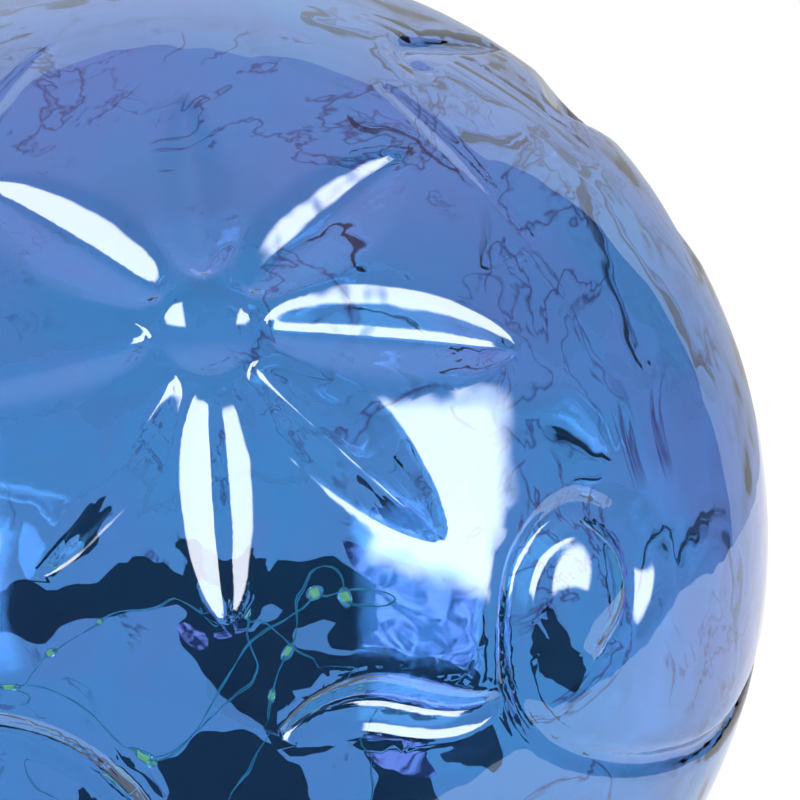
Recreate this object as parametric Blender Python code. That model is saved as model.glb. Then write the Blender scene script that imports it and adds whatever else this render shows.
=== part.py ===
"""Gazing ball of mould-blown blue glass, on the plug that closes its neck.

The ball is hollow, with walls of one thickness. Its pattern is pressed in, so every form is a
flute: a groove with a centre line, a width and a depth. Three like groups go round the ball, and
each has a daisy of eight petals round a dish, a leaf below it, a long scroll that winds round a
pillowed eye, and a tall narrow flute on each side. A flute's slope is the tangent of its flanks.

Metres, +Z up, origin in the middle of the underside, front daisy facing -Y.
"""
import math

import bmesh
import bpy
import numpy as np

# Ball and neck
BALL_DIAMETER = 0.254
WALL = 0.003
NECK_DIAMETER = 0.052
NECK_LENGTH = 0.024
NECK_FLARE = 0.010

# Plug in the neck, with the foot that the ball stands on
FOOT_DIAMETER = 0.076
FOOT_HEIGHT = 0.009
FOOT_CHAMFER = 0.0015
STOPPER_LENGTH = 0.016
STOPPER_CHAMFER = 0.0012
WIRE_NUB_DIAMETER = 0.012
WIRE_NUB_HEIGHT = 0.006
FIT_GAP = 0.0003

# Pattern groups round the ball
GROUP_COUNT = 3
FIRST_GROUP_AZIMUTH = 2.7

# Daisy: latitude in degrees, lengths in metres
DAISY_LATITUDE = 37.2
PETAL_START = 0.0122
# Petals: angle from east in degrees, then reach and half width in millimetres
PETALS = [(1.5, 70.0, 13.5), (46, 66.5, 12.5), (93, 61.0, 12.5), (140, 65.0, 13.0),
          (187, 66.0, 12.5), (232, 65.5, 12.5), (273, 63.5, 12.7), (320, 68.0, 12.7)]
PETAL_SLOPE = 0.53
DISH_RADIUS = 0.0100
DISH_DEPTH = 0.0036
DISH_SOFTNESS = 0.07

# Leaf below the daisy, an S along the equator
LEAF_AZIMUTH = 17.3
LEAF_LATITUDE = -1.35
LEAF_START = -0.0238
LEAF_END = 0.0262
LEAF_TILT = 0.13
LEAF_WAVE_HEIGHT = 0.0042
LEAF_WAVE_LENGTH = 0.060
LEAF_HALF_WIDTH = 0.0081
LEAF_SLOPE = 0.80

# Scroll: it winds round an eye, then runs on below the next group
SCROLL_EYE_AZIMUTH = 40.8
SCROLL_EYE_LATITUDE = 7.4
# Coil: east and north of the eye, half width outside and inside its line, in millimetres
COIL = [(1.1, -16.4, 5.5, 5.5), (5.0, -12.4, 9.0, 6.5), (10.4, -8.2, 13.0, 7.5), (13.4, -2.6, 15.0, 8.0),
        (13.5, 4.0, 14.5, 8.0), (10.8, 10.4, 12.0, 7.5), (5.2, 15.6, 9.0, 7.0), (-1.5, 17.9, 7.8, 6.5),
        (-8.5, 16.6, 7.0, 6.3), (-14.6, 13.2, 6.2, 6.0), (-19.4, 8.0, 5.6, 5.8), (-21.9, 1.0, 5.2, 5.5),
        (-22.9, -7.0, 5.2, 5.2), (-22.4, -16.0, 5.2, 5.2), (-18.0, -25.0, 5.2, 5.2)]
# Tail: azimuth from the group's middle and latitude, in degrees
SCROLL_TAIL = [(37.5, -8.0), (44.5, -11.0), (53, -13.2), (66, -14.6), (77, -12.6), (87, -8.0), (96, -2.9),
               (104.9, -3.8), (112, -9.3), (116, -17.5)]
SCROLL_SLOPE = 0.62
SCROLL_TAPER = 0.022
PILLOW_EAST = 0.0025
PILLOW_RADIUS = 0.0155
PILLOW_RISE = 0.0026

# Tall flutes beside the daisy: azimuth from its middle and latitude, of the top and of the foot
FLUTES = [((-45.0, 72), (-41.0, 40)), ((44.3, 63.5), (49.5, 36.5))]
FLUTE_HALF_WIDTH = 0.0045
FLUTE_SLOPE = 0.17

# Hooked leaves near the top of the ball, one in each of two gaps between daisies
HOOK_GAPS = 2
HOOK_PATH = [(101.5, 56.5), (90, 60.5), (77.5, 64.0), (66, 66.3), (59, 64.5), (62, 61.8)]
HOOK_HALF_WIDTH = 0.0062
HOOK_SLOPE = 0.60

# Shares of a flute's half width that its soft lip and its tight crease take
LIP_SHARE = 0.5
CREASE_SHARE = 0.23
RIDGE_POWER = 5
# How far the inside follows the outside's pattern
HOLLOW_FOLLOWS = 0.85

# Fineness of the faceted ball: corners stand along each flute, on lines given as shares of its
# half width, and thinly over the plain glass between
OUTSIDE_LINES = (0.0, 1.0, -1.0, 0.5, -0.5)
OUTSIDE_STEP = 0.0040
OUTSIDE_PLAIN_STEP = 0.0145
HOLLOW_LINES = (0.0, 1.0, -1.0)
HOLLOW_STEP = 0.0100
HOLLOW_PLAIN_STEP = 0.0210
STEP_SHARE_OF_WIDTH = 0.75
CLOSEST_SHARE_OF_STEP = 0.6
DISH_RINGS = ((0.0, 1), (0.55, 8), (0.95, 16), (1.15, 16))
ROUND_SEGMENTS = 40
CURVE_STEP = 0.0012

BALL_RADIUS = BALL_DIAMETER / 2
NECK_RADIUS = NECK_DIAMETER / 2
RIM_HEIGHT = FOOT_HEIGHT + FIT_GAP
BALL_CENTRE_HEIGHT = RIM_HEIGHT + NECK_LENGTH + math.sqrt(BALL_RADIUS ** 2 - NECK_RADIUS ** 2)

GLASS_COLOUR = (0.16, 0.38, 0.72, 1.0)
PLASTIC_COLOUR = (0.035, 0.037, 0.042, 1.0)


def clear_scene():
    for thing in list(bpy.data.objects):
        bpy.data.objects.remove(thing, do_unlink=True)


def make_material(name, colour, roughness, metallic, transmission=0.0):
    material = bpy.data.materials.new(name)
    material.use_nodes = True
    shader = material.node_tree.nodes["Principled BSDF"]
    shader.inputs["Base Color"].default_value = colour
    shader.inputs["Roughness"].default_value = roughness
    shader.inputs["Metallic"].default_value = metallic
    shader.inputs["Transmission Weight"].default_value = transmission
    return material


def unit(azimuth, latitude):
    """Direction from the ball's centre; azimuth 0 is the front, and it grows towards +X."""
    a = math.radians(azimuth)
    b = math.radians(latitude)
    return np.array((math.cos(b) * math.sin(a), -math.cos(b) * math.cos(a), math.sin(b)))


def place_on_ball(azimuth, latitude, east, north):
    """Direction reached from a point by walking an arc, in metres on the ball's surface."""
    walk = math.hypot(east, north)
    if walk == 0:
        return unit(azimuth, latitude)
    way = (east * unit(azimuth + 90, 0) + north * unit(azimuth, latitude + 90)) / walk
    angle = walk / BALL_RADIUS
    return math.cos(angle) * unit(azimuth, latitude) + math.sin(angle) * way


def smooth_curve(points, step=CURVE_STEP):
    """Directions spaced by about one step on a smooth curve through the given directions."""
    points = np.array(points)
    before = 2 * points[0] - points[1]
    after = 2 * points[-1] - points[-2]
    line = np.vstack((before, points, after))
    curve = []
    for i in range(1, len(line) - 2):
        p0, p1, p2, p3 = line[i - 1:i + 3]
        count = max(2, int(round(np.linalg.norm(p2 - p1) * BALL_RADIUS / step)))
        for t in np.arange(count) / count:
            curve.append(0.5 * (2 * p1 + (p2 - p0) * t + (2 * p0 - 5 * p1 + 4 * p2 - p3) * t ** 2
                                + (3 * p1 - p0 - 3 * p2 + p3) * t ** 3))
    curve.append(line[-2])
    curve = np.array(curve)
    return curve / np.linalg.norm(curve, axis=1)[:, None]


def along(curve):
    """Distance from the start of a curve to each of its points, in metres on the ball."""
    steps = np.linalg.norm(np.diff(curve, axis=0), axis=1) * BALL_RADIUS
    return np.concatenate(([0.0], np.cumsum(steps)))


def lens_width(curve, half_width, start, end):
    """Half widths of a flute with pointed ends; the smaller the power, the blunter that end."""
    share = along(curve) / along(curve)[-1]
    fullest = start / (start + end)
    return half_width * (share / fullest) ** start * ((1 - share) / (1 - fullest)).clip(0) ** end


def petal(azimuth, angle, reach, half_width):
    turn = math.radians(angle)
    points = []
    for r in (PETAL_START, (PETAL_START + reach) / 2, reach):
        points.append(place_on_ball(azimuth, DAISY_LATITUDE, r * math.cos(turn), r * math.sin(turn)))
    curve = smooth_curve(points)
    width = lens_width(curve, half_width, 0.5, 0.65)
    return curve, width, width, PETAL_SLOPE


def leaf(azimuth):
    points = []
    for x in np.linspace(LEAF_START, LEAF_END, 12):
        y = LEAF_TILT * x + LEAF_WAVE_HEIGHT * math.sin(
            2 * math.pi * (x - LEAF_START) / LEAF_WAVE_LENGTH)
        points.append(place_on_ball(azimuth + LEAF_AZIMUTH, LEAF_LATITUDE, x, y))
    curve = smooth_curve(points)
    width = lens_width(curve, LEAF_HALF_WIDTH, 0.5, 0.5)
    return curve, width, width, LEAF_SLOPE


def scroll(azimuth):
    points = []
    for east, north, _, _ in COIL:
        points.append(place_on_ball(azimuth + SCROLL_EYE_AZIMUTH, SCROLL_EYE_LATITUDE,
                                    east / 1000, north / 1000))
    points += [unit(azimuth + a, latitude) for a, latitude in SCROLL_TAIL]
    curve = smooth_curve(points)
    walked = along(curve)
    marks = along(np.array(points))[:len(COIL)]
    taper = np.sqrt((np.minimum(walked, walked[-1] - walked) / SCROLL_TAPER).clip(0, 1))
    outside = np.interp(walked, marks, [row[2] / 1000 for row in COIL]) * taper
    inside = np.interp(walked, marks, [row[3] / 1000 for row in COIL]) * taper
    return curve, inside, outside, SCROLL_SLOPE


def tall_flute(azimuth, top, foot):
    places = np.linspace(top, foot, 5)
    curve = smooth_curve([unit(azimuth + a, latitude) for a, latitude in places])
    width = lens_width(curve, FLUTE_HALF_WIDTH, 0.55, 0.9)
    return curve, width, width, FLUTE_SLOPE


def hook(azimuth):
    curve = smooth_curve([unit(azimuth + a, latitude) for a, latitude in HOOK_PATH])
    width = lens_width(curve, HOOK_HALF_WIDTH, 0.6, 0.6)
    return curve, width, width, HOOK_SLOPE


def group_azimuth(group):
    return FIRST_GROUP_AZIMUTH + 360 * group / GROUP_COUNT


def all_flutes():
    flutes = []
    for group in range(GROUP_COUNT):
        azimuth = group_azimuth(group)
        for angle, reach, half_width in PETALS:
            flutes.append(petal(azimuth, angle, reach / 1000, half_width / 1000))
        flutes.append(leaf(azimuth))
        flutes.append(scroll(azimuth))
        for top, foot in FLUTES:
            flutes.append(tall_flute(azimuth, top, foot))
        if group < HOOK_GAPS:
            flutes.append(hook(azimuth))
    return flutes


def cross_section(across):
    """Depth across a flute of half width and slope 1: soft lips, even flanks, a tight crease."""
    across = across.clip(0, 1)
    lip = (1 - across) ** 2 / (2 * LIP_SHARE)
    flank = 1 - LIP_SHARE / 2 - across
    crease = (CREASE_SHARE - across).clip(0) ** 2 / (2 * CREASE_SHARE)
    return np.where(across > 1 - LIP_SHARE, lip, flank - crease)


def press_flute(directions, sunk, flute):
    """Deepen the places that one flute covers."""
    curve, left, right, slope = flute
    middle = curve.mean(axis=0)
    middle /= np.linalg.norm(middle)
    reach = np.arccos((curve @ middle).clip(-1, 1)).max() + max(left.max(), right.max()) / BALL_RADIUS
    near = np.nonzero(directions @ middle > math.cos(reach))[0]
    places = directions[near]
    best = np.full(len(near), 9.0)
    wide = np.ones(len(near))
    tall = np.zeros(len(near))
    for i in range(len(curve) - 1):
        step = curve[i + 1] - curve[i]
        offset = places - curve[i]
        t = (offset @ step / (step @ step)).clip(0, 1)
        gap = np.linalg.norm(offset - t[:, None] * step, axis=1) * BALL_RADIUS
        widths = [w[i] + t * (w[i + 1] - w[i]) for w in (left, right)]
        side = np.where(offset @ np.cross(curve[i], step) > 0, *widths).clip(1e-5)
        closer = gap < best
        best = np.where(closer, gap, best)
        wide = np.where(closer, side, wide)
        tall = np.where(closer, np.sqrt(widths[0] * widths[1]), tall)
    depth = slope * tall * cross_section(best / wide)
    sunk[near] = joined(sunk[near], depth)


def joined(one, other):
    """The deeper of two depths, with a soft ridge where they meet."""
    return (one ** RIDGE_POWER + other ** RIDGE_POWER) ** (1 / RIDGE_POWER)


def distance_on_ball(directions, place):
    return np.arccos((directions @ place).clip(-1, 1)) * BALL_RADIUS


def press_dish(directions, sunk, azimuth):
    """The daisy's middle, a round dish with a soft rim."""
    distance = distance_on_ball(directions, unit(azimuth, DAISY_LATITUDE))
    within = 1 - (distance / DISH_RADIUS) ** 2
    sunk[:] = joined(sunk, DISH_DEPTH * (within + np.hypot(within, DISH_SOFTNESS)) / 2)


def raise_pillow(directions, sunk, azimuth):
    """The swollen glass in the scroll's eye."""
    place = place_on_ball(azimuth + SCROLL_EYE_AZIMUTH, SCROLL_EYE_LATITUDE, PILLOW_EAST, 0)
    distance = distance_on_ball(directions, place)
    sunk -= PILLOW_RISE * (1 - (distance / PILLOW_RADIUS) ** 2).clip(0) ** 2


def pattern_depth(directions):
    """How far the pattern is pressed in along each direction, in metres."""
    sunk = np.zeros(len(directions))
    for flute in all_flutes():
        press_flute(directions, sunk, flute)
    for group in range(GROUP_COUNT):
        press_dish(directions, sunk, group_azimuth(group))
    for group in range(GROUP_COUNT):
        raise_pillow(directions, sunk, group_azimuth(group))
    return sunk


def points_along(flute, line, step):
    """Directions along a flute, on a line at the given share of its half width."""
    curve, left, right, _ = flute
    widths = left if line > 0 else right
    walked = along(curve)
    stops = [0]
    for i in range(len(curve)):
        if walked[i] - walked[stops[-1]] >= max(step, STEP_SHARE_OF_WIDTH * widths[i]):
            stops.append(i)
    stops.append(len(curve) - 1)
    points = []
    for i in stops:
        ahead = curve[min(i + 1, len(curve) - 1)] - curve[max(i - 1, 0)]
        side = np.cross(curve[i], ahead)
        side /= np.linalg.norm(side)
        angle = line * widths[i] / BALL_RADIUS
        points.append(math.cos(angle) * curve[i] + math.sin(angle) * side)
    return points


def points_of_dish(azimuth):
    points = []
    for share, count in DISH_RINGS:
        for k in range(count):
            turn = 2 * math.pi * k / count
            reach = share * DISH_RADIUS
            points.append(place_on_ball(azimuth, DAISY_LATITUDE, reach * math.cos(turn),
                                        reach * math.sin(turn)))
    return points


def even_points(step):
    """Directions spread evenly over the whole ball, about one step apart."""
    count = int(4 * math.pi * BALL_RADIUS ** 2 / (0.87 * step ** 2))
    golden = math.pi * (3 - math.sqrt(5))
    k = np.arange(count)
    z = 1 - (2 * k + 1) / count
    r = np.sqrt(1 - z * z)
    return np.stack((r * np.cos(golden * k), r * np.sin(golden * k), z), axis=1)


def keep_apart(kept, points, distance):
    """Add the points that are at least a distance, in metres on the ball, from those kept."""
    closest = math.cos(distance / BALL_RADIUS)
    for point in points:
        if not kept or (np.array(kept) @ point).max() < closest:
            kept.append(point)


def corner_directions(lines, step, plain_step):
    kept = []
    flutes = all_flutes()
    closest = CLOSEST_SHARE_OF_STEP * step
    for group in range(GROUP_COUNT):
        keep_apart(kept, points_of_dish(group_azimuth(group)), closest)
    for line in lines:
        for flute in flutes:
            keep_apart(kept, points_along(flute, line, step), closest)
    keep_apart(kept, even_points(plain_step), CLOSEST_SHARE_OF_STEP * plain_step)
    return np.array(kept)


def patterned_ball(name, radius, follows, directions):
    """A ball with corners along the given directions and a share of the pattern pressed in."""
    bm = bmesh.new()
    for direction in directions:
        bm.verts.new(direction)
    bmesh.ops.convex_hull(bm, input=bm.verts)
    bmesh.ops.recalc_face_normals(bm, faces=bm.faces)
    places = directions * (radius - follows * pattern_depth(directions))[:, None]
    for corner, place in zip(bm.verts, places):
        corner.co = place
    bmesh.ops.translate(bm, verts=bm.verts, vec=(0, 0, BALL_CENTRE_HEIGHT))
    mesh = bpy.data.meshes.new(name)
    bm.to_mesh(mesh)
    bm.free()
    ball = bpy.data.objects.new(name, mesh)
    bpy.context.collection.objects.link(ball)
    return ball


def turned(name, profile):
    """A closed solid turned round the Z axis from (radius, height) points, bottom to top."""
    bm = bmesh.new()
    ring = [bm.verts.new((radius, 0.0, height)) for radius, height in profile]
    edges = [bm.edges.new(pair) for pair in zip(ring, ring[1:])]
    bmesh.ops.spin(bm, geom=ring + edges, cent=(0, 0, 0), axis=(0, 0, 1), angle=2 * math.pi,
                   steps=ROUND_SEGMENTS, use_merge=True)
    bmesh.ops.remove_doubles(bm, verts=bm.verts, dist=1e-6)
    bmesh.ops.recalc_face_normals(bm, faces=bm.faces)
    mesh = bpy.data.meshes.new(name)
    bm.to_mesh(mesh)
    bm.free()
    solid = bpy.data.objects.new(name, mesh)
    bpy.context.collection.objects.link(solid)
    return solid


def hide_as_cutter(thing):
    thing.hide_render = True
    thing.display_type = "WIRE"


def neck_form():
    """Solid outside form of the neck, flared where it grows out of the ball."""
    joint = RIM_HEIGHT + NECK_LENGTH
    inside = 0.012
    lip = 0.001
    profile = [(0.0, RIM_HEIGHT), (NECK_RADIUS - lip, RIM_HEIGHT), (NECK_RADIUS, RIM_HEIGHT + lip)]
    for k in range(6):
        t = math.radians(90 * k / 5)
        profile.append((NECK_RADIUS + NECK_FLARE * (1 - math.cos(t)),
                        joint - NECK_FLARE * 0.7 + NECK_FLARE * math.sin(t)))
    profile.append((0.0, joint + inside))
    return turned("neck_form", profile)


def bore_form():
    """What is cut out of the neck, up into the hollow of the ball."""
    radius = NECK_RADIUS - WALL
    top = RIM_HEIGHT + NECK_LENGTH + 0.020
    below = RIM_HEIGHT - 0.005
    return turned("bore_form", [(0.0, below), (radius, below), (radius, top), (0.0, top)])


def cut_or_join(target, other, operation):
    step = target.modifiers.new(other.name, "BOOLEAN")
    step.operation = operation
    step.object = other
    step.solver = "EXACT"
    hide_as_cutter(other)


def shade_round(thing, angle):
    thing.data.shade_smooth()
    thing.data.set_sharp_from_angle(angle=math.radians(angle))


def glass_ball():
    outside = corner_directions(OUTSIDE_LINES, OUTSIDE_STEP, OUTSIDE_PLAIN_STEP)
    inside = corner_directions(HOLLOW_LINES, HOLLOW_STEP, HOLLOW_PLAIN_STEP)
    ball = patterned_ball("glass_ball", BALL_RADIUS, 1.0, outside)
    hollow = patterned_ball("hollow_form", BALL_RADIUS - WALL, HOLLOW_FOLLOWS, inside)
    cut_or_join(ball, neck_form(), "UNION")
    cut_or_join(ball, hollow, "DIFFERENCE")
    cut_or_join(ball, bore_form(), "DIFFERENCE")
    shade_round(ball, 60)
    ball.data.materials.append(make_material("blue_glass", GLASS_COLOUR, 0.04, 0.3, 0.9))
    return ball


def neck_plug():
    """Stopper with a foot: it fills the neck, and the rim rests on its foot."""
    foot = FOOT_DIAMETER / 2
    stopper = NECK_RADIUS - WALL - FIT_GAP
    top = FOOT_HEIGHT + STOPPER_LENGTH
    nub = WIRE_NUB_DIAMETER / 2
    profile = [
        (0.0, 0.0),
        (foot - FOOT_CHAMFER, 0.0),
        (foot, FOOT_CHAMFER),
        (foot, FOOT_HEIGHT - FOOT_CHAMFER),
        (foot - FOOT_CHAMFER, FOOT_HEIGHT),
        (stopper, FOOT_HEIGHT),
        (stopper, top - STOPPER_CHAMFER),
        (stopper - STOPPER_CHAMFER, top),
        (nub, top),
        (nub * 0.7, top + WIRE_NUB_HEIGHT),
        (0.0, top + WIRE_NUB_HEIGHT),
    ]
    plug = turned("neck_plug", profile)
    shade_round(plug, 30)
    plug.data.materials.append(make_material("dark_plastic", PLASTIC_COLOUR, 0.45, 0.0))
    return plug


clear_scene()
glass_ball()
neck_plug()
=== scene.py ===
import math

import bmesh
import bpy
import numpy as np
from bpy.props import FloatProperty, FloatVectorProperty, IntProperty, PointerProperty
from mathutils import Matrix, Vector, noise


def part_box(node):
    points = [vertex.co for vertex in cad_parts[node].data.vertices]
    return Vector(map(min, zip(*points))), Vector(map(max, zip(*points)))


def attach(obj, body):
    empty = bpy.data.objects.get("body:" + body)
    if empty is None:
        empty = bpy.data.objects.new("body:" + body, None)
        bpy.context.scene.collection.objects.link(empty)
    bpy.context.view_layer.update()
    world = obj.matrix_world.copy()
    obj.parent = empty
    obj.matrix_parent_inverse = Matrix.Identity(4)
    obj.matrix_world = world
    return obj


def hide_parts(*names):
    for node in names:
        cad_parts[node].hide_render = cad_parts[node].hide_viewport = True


bl_info = {
    "name": "Gazing Ball Maker",
    "version": (1, 0, 0),
    "blender": (4, 5, 0),
    "location": "3D View > Sidebar > Gazing Ball",
    "description": "Finishes a blown-glass gazing ball with pressed daisies and lights inside",
    "category": "Object",
}

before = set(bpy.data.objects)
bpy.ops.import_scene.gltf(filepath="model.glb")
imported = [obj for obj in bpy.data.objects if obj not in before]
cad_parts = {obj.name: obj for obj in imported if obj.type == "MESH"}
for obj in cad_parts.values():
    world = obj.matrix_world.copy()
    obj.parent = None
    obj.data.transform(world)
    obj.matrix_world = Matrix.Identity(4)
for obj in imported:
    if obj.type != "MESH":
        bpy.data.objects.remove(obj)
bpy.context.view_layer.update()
BALL_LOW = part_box("glass_ball")[0]
PLUG_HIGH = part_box("neck_plug")[1]

# Ball and neck, as on the frame
BALL_RADIUS = 0.127
WALL = 0.003
NECK_RADIUS = 0.026
NECK_LENGTH = 0.024
NECK_FLARE = 0.010
BORE = NECK_RADIUS - WALL
BALL_CENTRE = Vector((0, 0, BALL_LOW.z + NECK_LENGTH
                      + math.sqrt(BALL_RADIUS ** 2 - NECK_RADIUS ** 2)))

# Rings of the neck: steps of the flare and its height as a share, the rounded lip at the rim and
# its corner as a share, the inside's flare, and two rings of it, wider and lower than the bore
FLARE_STEPS = 6
FLARE_TALL = 0.9
LIP = 0.0012
LIP_CORNER = 0.3
INSIDE_FLARE = 0.007
INSIDE_RINGS = [(0.0, 0.006), (0.002, 0.002)]

# Blown mesh: its divisions, the least depth that is divided again, how far the inside follows the
# pattern and the waves, and the waves as seed, size and share
BALL_SUBDIVISIONS = 6
DIVIDED_FROM = 2e-5
INSIDE_FOLLOWS = 0.85
INSIDE_RIPPLE = 0.8
OUTSIDE_SEED = 1.0
INSIDE_SEED = 30.0
WAVES = [(0, 5.0, 1.0), (7, 16.0, 0.7)]
FINER_WAVES = 2.3
FINER_SHARE = 0.5

# Pattern groups: angles in degrees, lengths in metres. A petal's row has its angle, and its reach
# and half width in millimetres; the coil's rows have the way east and north of the scroll's eye and
# the half widths outside and inside, in millimetres.
GROUP_COUNT = 3
FIRST_GROUP_AZIMUTH = 2.7
GROUP_AZIMUTHS = [FIRST_GROUP_AZIMUTH + 360 * k / GROUP_COUNT for k in range(GROUP_COUNT)]
DAISY_LATITUDE = 37.2
PETAL_START = 0.0122
PETALS = [(1.5, 70.0, 13.5), (46, 66.5, 12.5), (93, 61.0, 12.5), (140, 65.0, 13.0),
          (187, 66.0, 12.5), (232, 65.5, 12.5), (273, 63.5, 12.7), (320, 68.0, 12.7)]
PETAL_SLOPE = 0.53
PETAL_ENDS = (0.5, 0.65)
DISH_RADIUS = 0.0100
DISH_DEPTH = 0.0036
DISH_SOFTNESS = 0.07
LEAF_AZIMUTH = 17.3
LEAF_LATITUDE = -1.35
LEAF_START = -0.0238
LEAF_END = 0.0262
LEAF_TILT = 0.13
LEAF_WAVE_HEIGHT = 0.0042
LEAF_WAVE_LENGTH = 0.060
LEAF_HALF_WIDTH = 0.0081
LEAF_SLOPE = 0.80
LEAF_ENDS = (0.5, 0.5)
LEAF_POINTS = 12
SCROLL_EYE_AZIMUTH = 40.8
SCROLL_EYE_LATITUDE = 7.4
COIL = [(1.1, -16.4, 5.5, 5.5), (5.0, -12.4, 9.0, 6.5), (10.4, -8.2, 13.0, 7.5),
        (13.4, -2.6, 15.0, 8.0), (13.5, 4.0, 14.5, 8.0), (10.8, 10.4, 12.0, 7.5),
        (5.2, 15.6, 9.0, 7.0), (-1.5, 17.9, 7.8, 6.5), (-8.5, 16.6, 7.0, 6.3),
        (-14.6, 13.2, 6.2, 6.0), (-19.4, 8.0, 5.6, 5.8), (-21.9, 1.0, 5.2, 5.5),
        (-22.9, -7.0, 5.2, 5.2), (-22.4, -16.0, 5.2, 5.2), (-18.0, -25.0, 5.2, 5.2)]
SCROLL_TAIL = [(37.5, -8.0), (44.5, -11.0), (53, -13.2), (66, -14.6), (77, -12.6), (87, -8.0),
               (96, -2.9), (104.9, -3.8), (112, -9.3), (116, -17.5)]
SCROLL_SLOPE = 0.62
SCROLL_TAPER = 0.022
PILLOW_EAST = 0.0025
PILLOW_RADIUS = 0.0155
PILLOW_RISE = 0.0026
FLUTES = [((-45.0, 72), (-41.0, 40)), ((44.3, 63.5), (49.5, 36.5))]
FLUTE_HALF_WIDTH = 0.0045
FLUTE_SLOPE = 0.17
FLUTE_ENDS = (0.55, 0.9)
FLUTE_POINTS = 5
HOOK_GAPS = 2
HOOK_PATH = [(101.5, 56.5), (90, 60.5), (77.5, 64.0), (66, 66.3), (59, 64.5), (62, 61.8)]
HOOK_HALF_WIDTH = 0.0062
HOOK_SLOPE = 0.60
HOOK_ENDS = (0.6, 0.6)
LIP_SHARE = 0.5
CREASE_SHARE = 0.23
RIDGE_POWER = 5
CURVE_STEP = 0.0009
LEAST_WIDTH = 1e-5
CUT_TOLERANCE = 1e-7

# The photograph's view: where the ball's middle and outline stand in its 800 x 800 frame
PHOTO_SIZE = 800
BALL_MIDDLE_PX = (185, 537)
BALL_RADIUS_PX = 584
SENSOR_WIDTH = 36.0

# The string of lights as pixels of the photograph, with millimetres nearer than the ball's middle.
# It leaves the plug, climbs behind the leaf and goes to the left, comes back over a big bead to a
# loop behind the daisy's foot, and goes down to the plug.
LIGHTS_ROUTE = [
    (286, 960, 0), (352, 860, -12), (372, 800, -12), (372, 775, -6), (374, 754, 0), (363, 728, 4),
    (361, 718, 6), (366, 705, 8), (350, 682, 8), (332, 671, 6), (319, 673, 4), (314, 662, 2),
    (301, 655, 0), (289, 645, -2), (280, 634, -4), (262, 619, -6), (242, 614, -8), (235, 604, -10),
    (219, 613, -12), (204, 608, -14), (173, 600, -18), (153, 609, -20), (115, 610, -24),
    (84, 629, -26), (59, 645, -28), (43, 657, -30), (30, 672, -31), (20, 688, -32), (0, 693, -34),
    (-30, 697, -30), (-34, 690, -24), (0, 691, -22), (38, 690, -18), (66, 701, -12), (97, 724, -4),
    (117, 744, 4), (139, 756, 6), (160, 757, 8), (189, 736, 8), (219, 693, 8), (242, 652, 6),
    (265, 629, 4), (301, 606, 2), (314, 590, 0), (330, 594, -2), (352, 590, -6), (380, 590, -10),
    (398, 597, -14), (380, 606, -14), (352, 604, -10), (345, 597, -8), (342, 581, -10),
    (334, 571, -12), (322, 567, -14), (310, 573, -14), (302, 587, -14), (295, 600, -13),
    (296, 622, -11), (294, 640, -8), (288, 654, -6), (279, 681, -8), (268, 708, -10),
    (266, 734, -12), (252, 754, -14), (246, 775, -16), (228, 800, -16), (212, 850, -12),
    (206, 960, 0)]
# Two more strands, from the first bead down to the plug and from the big bead up to the fourth
SIDE_ROUTES = [
    [(4, 692, -33), (18, 700, -30), (26, 709, -28), (20, 722, -26), (14, 735, -24), (25, 748, -22),
     (29, 762, -20), (33, 775, -18), (41, 787, -16), (56, 798, -14), (85, 845, -10), (140, 910, -6),
     (192, 965, 0)],
    [(139, 756, 6), (160, 752, 2), (184, 741, -2), (212, 716, -4), (237, 693, -5), (252, 683, -6),
     (256, 668, -7), (250, 650, -8), (246, 630, -9), (240, 615, -10), (235, 605, -10)]]

# Twin wires: how far apart in wire thicknesses, and the length of a turn round each other
TWINS_APART = 1.4
TWIN_TURN = 0.03
WIRE_STEP = 0.0016

# Ends of the string on the plug's nub, as steps from a place so much under the nub's top
NUB_SINK = 0.0005
STRING_OUT = [(0.002, 0.0, 0.0), (0.003, 0.0, 0.012), (0.006, -0.001, 0.030)]
STRING_BACK = [(-0.003, 0.001, 0.032), (-0.003, 0.0, 0.012), (-0.002, 0.0, 0.0)]
SIDE_BACK = [(-0.004, 0.002, 0.0125), (-0.0035, 0.0015, 0.0)]

# Beads as pixels of the photograph with sizes, and a second place on each line of sight, so much
# nearer than the ball's middle. Half sides of a bead, and sides and rounded edges of its chip, are
# shares of its length.
BEADS = [(51, 651, 0.8), (4, 692, 1.0), (139, 756, 1.6), (235, 605, 0.8), (285, 652, 1.1),
         (314, 590, 1.1), (345, 598, 1.0), (272, 694, 0.6), (92, 622, 0.6)]
SIGHT_NEARER = 0.5
BEAD_SIDES = (0.32, 0.27, 0.5)
CHIP_SIDES = (0.30, 0.12, 0.42)
CHIP_EDGE = 0.05

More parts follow.
